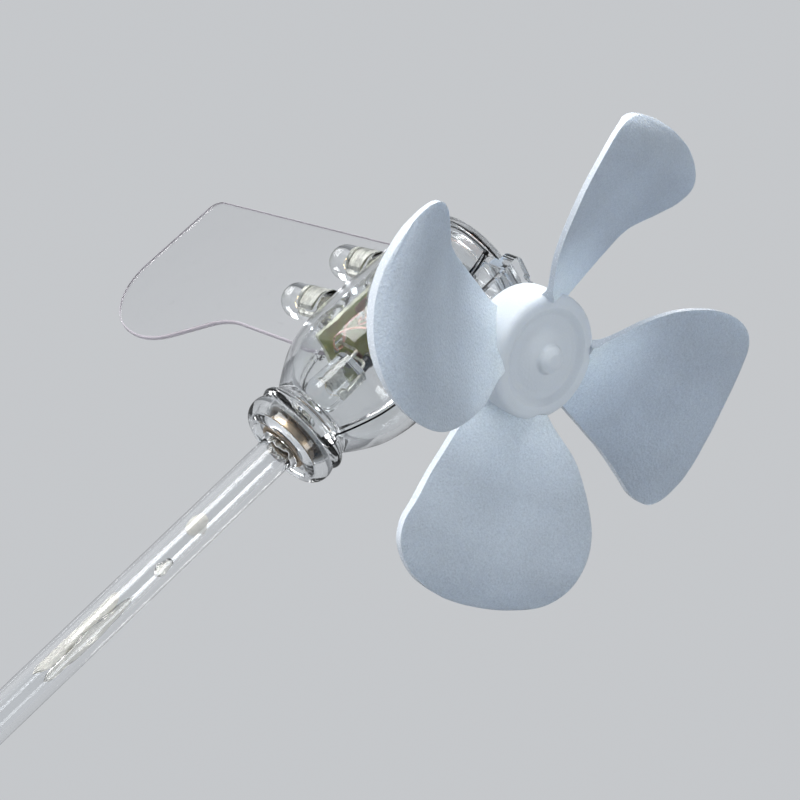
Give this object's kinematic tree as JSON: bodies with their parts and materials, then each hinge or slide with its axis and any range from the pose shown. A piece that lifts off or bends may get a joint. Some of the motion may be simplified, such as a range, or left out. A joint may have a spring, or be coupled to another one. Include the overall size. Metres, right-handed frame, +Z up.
{
  "type": "wind-driven led windmill",
  "caption": "Clear plastic hand windmill on a round wand: frosted propeller drives a small generator that lights lamps in an egg-shaped housing, with a flat tail fin to face the wind.",
  "frame": {"origin": "centre of the wand's flat foot", "axes": "+Z up the wand; -Y is the propeller's side, facing the wind; +Y is the tail fin's side; +X to the right seen from the propeller's side"},
  "size_m": [0.0628, 0.0862, 0.2113],
  "materials": {
    "clear_plastic": "clear, polished, water-white",
    "frosted_plastic": "translucent, fine frosted grain, brighter polished edges",
    "bush_bronze": "dull sintered bronze",
    "steel": "plated",
    "brass": "turned",
    "copper_wire": "enamelled copper wire, layer wound",
    "bobbin_plastic": "cream moulding",
    "ferrite": "dark sintered",
    "board": "green glass-epoxy laminate with pale cut edges",
    "diode_black": "moulded epoxy",
    "tinned_leads": "tin-plated"
  },
  "bodies": {
    "wand": {"stake_tube": "clear_plastic", "stake_foot_plug": "clear_plastic", "pivot_bush": "bush_bronze"},
    "head": {"neck_collar": "clear_plastic", "housing_left": "clear_plastic", "housing_right": "clear_plastic", "top_cap": "clear_plastic", "bearing_snout": "clear_plastic", "tail_fin": "clear_plastic", "led_down_lens": "clear_plastic", "led_rear_upper_lens": "clear_plastic", "led_rear_lower_lens": "clear_plastic", "thrust_washer": "steel", "pole_plate_front": "steel", "pole_plate_rear": "steel", "shaft_bush_front": "brass", "shaft_bush_rear": "brass", "generator_coil": "copper_wire", "coil_bobbin": "bobbin_plastic", "circuit_board": "board", "rectifier_diode": "diode_black", "led_down_anode": "tinned_leads", "led_down_cathode": "tinned_leads", "led_rear_upper_anode": "tinned_leads", "led_rear_upper_cathode": "tinned_leads", "led_rear_lower_anode": "tinned_leads", "led_rear_lower_cathode": "tinned_leads"},
    "rotor": {"propeller": "frosted_plastic", "rotor_shaft": "steel", "generator_magnet": "ferrite"}
  },
  "joints": [
    {"name": "head_swivel", "type": "hinge", "parent": "wand", "child": "head", "pos_m": [0, 0, 0.155], "axis": [0, 0, 1], "continuous": true},
    {"name": "propeller_spin", "type": "hinge", "parent": "head", "child": "rotor", "pos_m": [0, -0.02, 0.18], "axis": [0, -1, 0], "continuous": true}
  ]
}
